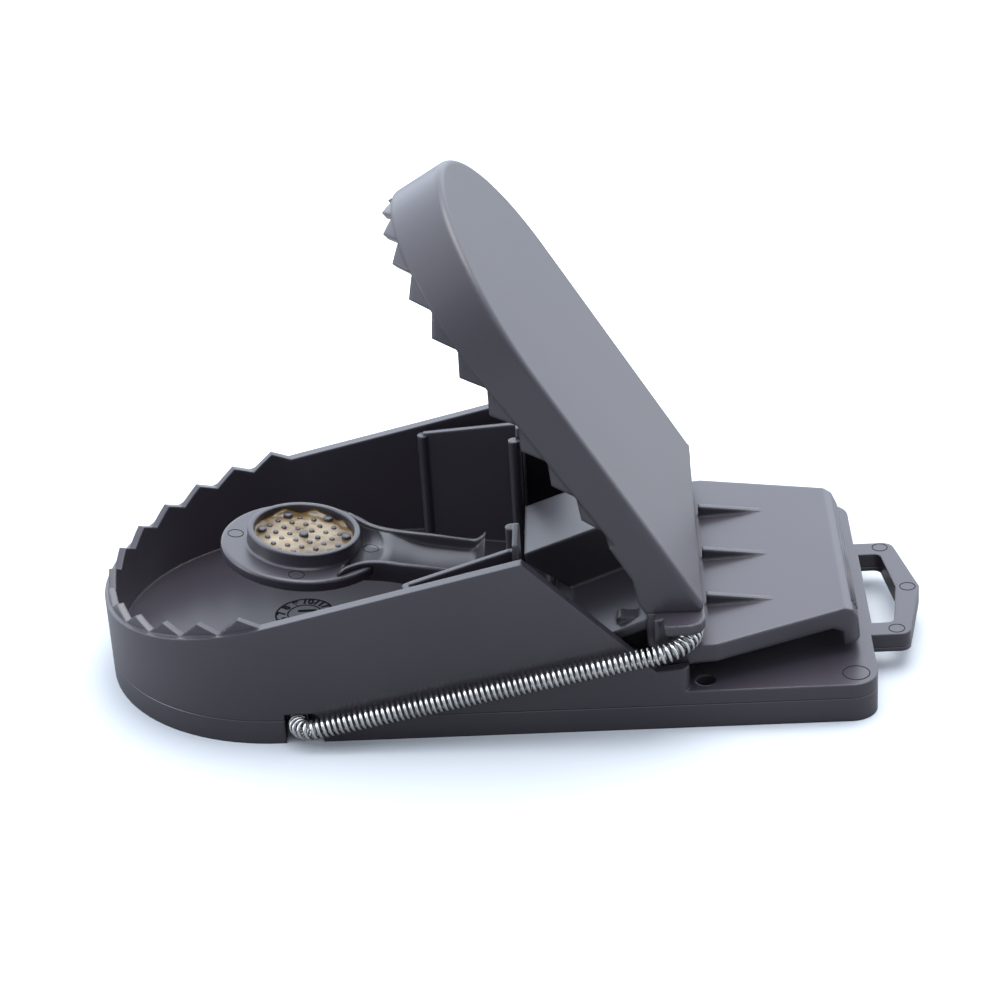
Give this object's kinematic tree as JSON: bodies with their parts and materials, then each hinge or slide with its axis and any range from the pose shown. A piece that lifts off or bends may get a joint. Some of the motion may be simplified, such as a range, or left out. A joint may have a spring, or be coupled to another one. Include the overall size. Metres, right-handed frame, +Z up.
{
  "type": "snap mouse trap",
  "caption": "Set snap mouse trap: D-shaped tray with toothed rim, toothed jaw on a thumb lever, bait treadle with pins, and a coiled wire spring looped round the outside",
  "frame": {"origin": "middle of the trap's bounding box in plan, on the flat face it stands on", "axes": "X runs from the tray's round front to the handle loop, Y across the trap, Z up"},
  "size_m": [0.1058, 0.0548, 0.0652],
  "materials": {
    "black_plastic": "satin moulded",
    "bait": "set paste",
    "spring_wire": "bright drawn wire"
  },
  "bodies": {
    "base": {"base_tray": "black_plastic", "hinge_pin": "black_plastic", "treadle_pin": "black_plastic", "closing_spring": "spring_wire"},
    "jaw": {"upper_jaw": "black_plastic", "setting_lever": "black_plastic"},
    "treadle": {"bait_treadle": "black_plastic", "bait_paste": "bait"}
  },
  "joints": [
    {"name": "jaw_hinge", "type": "hinge", "parent": "base", "child": "jaw", "pos_m": [0.0052, 0, 0.0081], "axis": [0, -1, 0], "range_deg": [-1, 66], "deforming": ["closing_spring"]},
    {"name": "treadle_hinge", "type": "hinge", "parent": "base", "child": "treadle", "pos_m": [-0.0055, 0, 0.0086], "axis": [0, -1, 0], "range_deg": [0, 6]}
  ]
}
